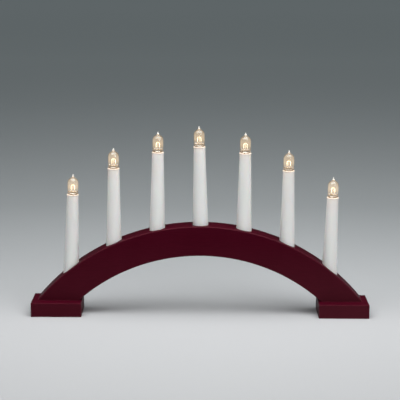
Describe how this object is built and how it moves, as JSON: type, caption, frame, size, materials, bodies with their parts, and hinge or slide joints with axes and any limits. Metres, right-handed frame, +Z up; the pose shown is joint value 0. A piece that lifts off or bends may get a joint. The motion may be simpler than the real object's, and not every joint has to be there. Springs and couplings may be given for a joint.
{
  "type": "candle arch",
  "caption": "Electric window candle arch: painted wooden arc on two foot blocks, carrying upright white candle tubes with clear screw-in lamps wired in series.",
  "frame": {"origin": "on the table under the middle of the object's box", "axes": "+X along the arch to the right as seen from the front, +Y to the back, +Z up"},
  "size_m": [0.43, 0.048, 0.2415],
  "materials": {
    "painted_wood": "satin wine-red paint on wood",
    "painted_strip": "matt wine-red paint on thin board",
    "candle_plastic": "semi-gloss white",
    "holder_plastic": "semi-gloss ivory",
    "clear_glass": "clear",
    "filament_wire": "glowing tungsten",
    "cap_brass": "rolled brass",
    "contact_brass": "drawn brass",
    "insulator_black": "black with a solder point",
    "wire_insulation": "soft ivory insulation",
    "splice_tin": "tinned",
    "screw_steel": "zinc plated",
    "bush_rubber": "matt"
  },
  "bodies": {
    "arch_assembly": {"arch": "painted_wood", "foot_left": "painted_wood", "foot_right": "painted_wood", "channel_cover": "painted_strip", "cord_bush": "bush_rubber", "candle_tube_1": "candle_plastic", "lamp_holder_1": "holder_plastic", "socket_shell_1": "contact_brass", "candle_tube_2": "candle_plastic", "lamp_holder_2": "holder_plastic", "socket_shell_2": "contact_brass", "candle_tube_3": "candle_plastic", "lamp_holder_3": "holder_plastic", "socket_shell_3": "contact_brass", "candle_tube_4": "candle_plastic", "lamp_holder_4": "holder_plastic", "socket_shell_4": "contact_brass", "candle_tube_5": "candle_plastic", "lamp_holder_5": "holder_plastic", "socket_shell_5": "contact_brass", "candle_tube_6": "candle_plastic", "lamp_holder_6": "holder_plastic", "socket_shell_6": "contact_brass", "candle_tube_7": "candle_plastic", "lamp_holder_7": "holder_plastic", "socket_shell_7": "contact_brass", "foot_screws": "screw_steel", "cover_screws": "screw_steel", "socket_contacts": "contact_brass", "series_wires": "wire_insulation", "feed_wires": "wire_insulation", "lead_splices": "splice_tin"},
    "bulb_1_end": {"bulb_contact_1": "insulator_black"},
    "bulb_1": {"bulb_glass_1": "clear_glass", "bulb_cap_1": "cap_brass", "bulb_filament_1": "filament_wire"},
    "bulb_2_end": {"bulb_contact_2": "insulator_black"},
    "bulb_2": {"bulb_glass_2": "clear_glass", "bulb_cap_2": "cap_brass", "bulb_filament_2": "filament_wire"},
    "bulb_3_end": {"bulb_contact_3": "insulator_black"},
    "bulb_3": {"bulb_glass_3": "clear_glass", "bulb_cap_3": "cap_brass", "bulb_filament_3": "filament_wire"},
    "bulb_4_end": {"bulb_contact_4": "insulator_black"},
    "bulb_4": {"bulb_glass_4": "clear_glass", "bulb_cap_4": "cap_brass", "bulb_filament_4": "filament_wire"},
    "bulb_5_end": {"bulb_contact_5": "insulator_black"},
    "bulb_5": {"bulb_glass_5": "clear_glass", "bulb_cap_5": "cap_brass", "bulb_filament_5": "filament_wire"},
    "bulb_6_end": {"bulb_contact_6": "insulator_black"},
    "bulb_6": {"bulb_glass_6": "clear_glass", "bulb_cap_6": "cap_brass", "bulb_filament_6": "filament_wire"},
    "bulb_7_end": {"bulb_contact_7": "insulator_black"},
    "bulb_7": {"bulb_glass_7": "clear_glass", "bulb_cap_7": "cap_brass", "bulb_filament_7": "filament_wire"}
  },
  "joints": [
    {"name": "bulb_1_lift", "type": "slide", "parent": "arch_assembly", "child": "bulb_1_end", "axis": [0.0314, 0, 0.9995], "range_m": [0, 0.00635]},
    {"name": "bulb_1_turn", "type": "hinge", "parent": "bulb_1_end", "child": "bulb_1", "pos_m": [-0.16232, 0.0055, 0.15326], "axis": [0.0314, 0, 0.9995], "range_deg": [0, 1260]},
    {"name": "bulb_2_lift", "type": "slide", "parent": "arch_assembly", "child": "bulb_2_end", "axis": [0, 0, 1], "range_m": [0, 0.00635]},
    {"name": "bulb_2_turn", "type": "hinge", "parent": "bulb_2_end", "child": "bulb_2", "pos_m": [-0.1104, 0.0055, 0.18724], "axis": [0, 0, 1], "range_deg": [0, 1260]},
    {"name": "bulb_3_lift", "type": "slide", "parent": "arch_assembly", "child": "bulb_3_end", "axis": [0.007, 0, 1], "range_m": [0, 0.00635]},
    {"name": "bulb_3_turn", "type": "hinge", "parent": "bulb_3_end", "child": "bulb_3", "pos_m": [-0.05447, 0.0055, 0.2083], "axis": [0.007, 0, 1], "range_deg": [0, 1260]},
    {"name": "bulb_4_lift", "type": "slide", "parent": "arch_assembly", "child": "bulb_4_end", "axis": [-0.0209, 0, 0.9998], "range_m": [0, 0.00635]},
    {"name": "bulb_4_turn", "type": "hinge", "parent": "bulb_4_end", "child": "bulb_4", "pos_m": [-0.00219, 0.0055, 0.21559], "axis": [-0.0209, 0, 0.9998], "range_deg": [0, 1260]},
    {"name": "bulb_5_lift", "type": "slide", "parent": "arch_assembly", "child": "bulb_5_end", "axis": [0.0052, 0, 1], "range_m": [0, 0.00635]},
    {"name": "bulb_5_turn", "type": "hinge", "parent": "bulb_5_end", "child": "bulb_5", "pos_m": [0.05575, 0.0055, 0.2078], "axis": [0.0052, 0, 1], "range_deg": [0, 1260]},
    {"name": "bulb_6_lift", "type": "slide", "parent": "arch_assembly", "child": "bulb_6_end", "axis": [0.0035, 0, 1], "range_m": [0, 0.00635]},
    {"name": "bulb_6_turn", "type": "hinge", "parent": "bulb_6_end", "child": "bulb_6", "pos_m": [0.11076, 0.0055, 0.18574], "axis": [0.0035, 0, 1], "range_deg": [0, 1260]},
    {"name": "bulb_7_lift", "type": "slide", "parent": "arch_assembly", "child": "bulb_7_end", "axis": [0.0175, 0, 0.9998], "range_m": [0, 0.00635]},
    {"name": "bulb_7_turn", "type": "hinge", "parent": "bulb_7_end", "child": "bulb_7", "pos_m": [0.16742, 0.0055, 0.15139], "axis": [0.0175, 0, 0.9998], "range_deg": [0, 1260]}
  ],
  "couplings": [
    {"joint": "bulb_1_lift", "follows": "bulb_1_turn", "m_per_rad": 0.00028871},
    {"joint": "bulb_2_lift", "follows": "bulb_2_turn", "m_per_rad": 0.00028871},
    {"joint": "bulb_3_lift", "follows": "bulb_3_turn", "m_per_rad": 0.00028871},
    {"joint": "bulb_4_lift", "follows": "bulb_4_turn", "m_per_rad": 0.00028871},
    {"joint": "bulb_5_lift", "follows": "bulb_5_turn", "m_per_rad": 0.00028871},
    {"joint": "bulb_6_lift", "follows": "bulb_6_turn", "m_per_rad": 0.00028871},
    {"joint": "bulb_7_lift", "follows": "bulb_7_turn", "m_per_rad": 0.00028871}
  ]
}
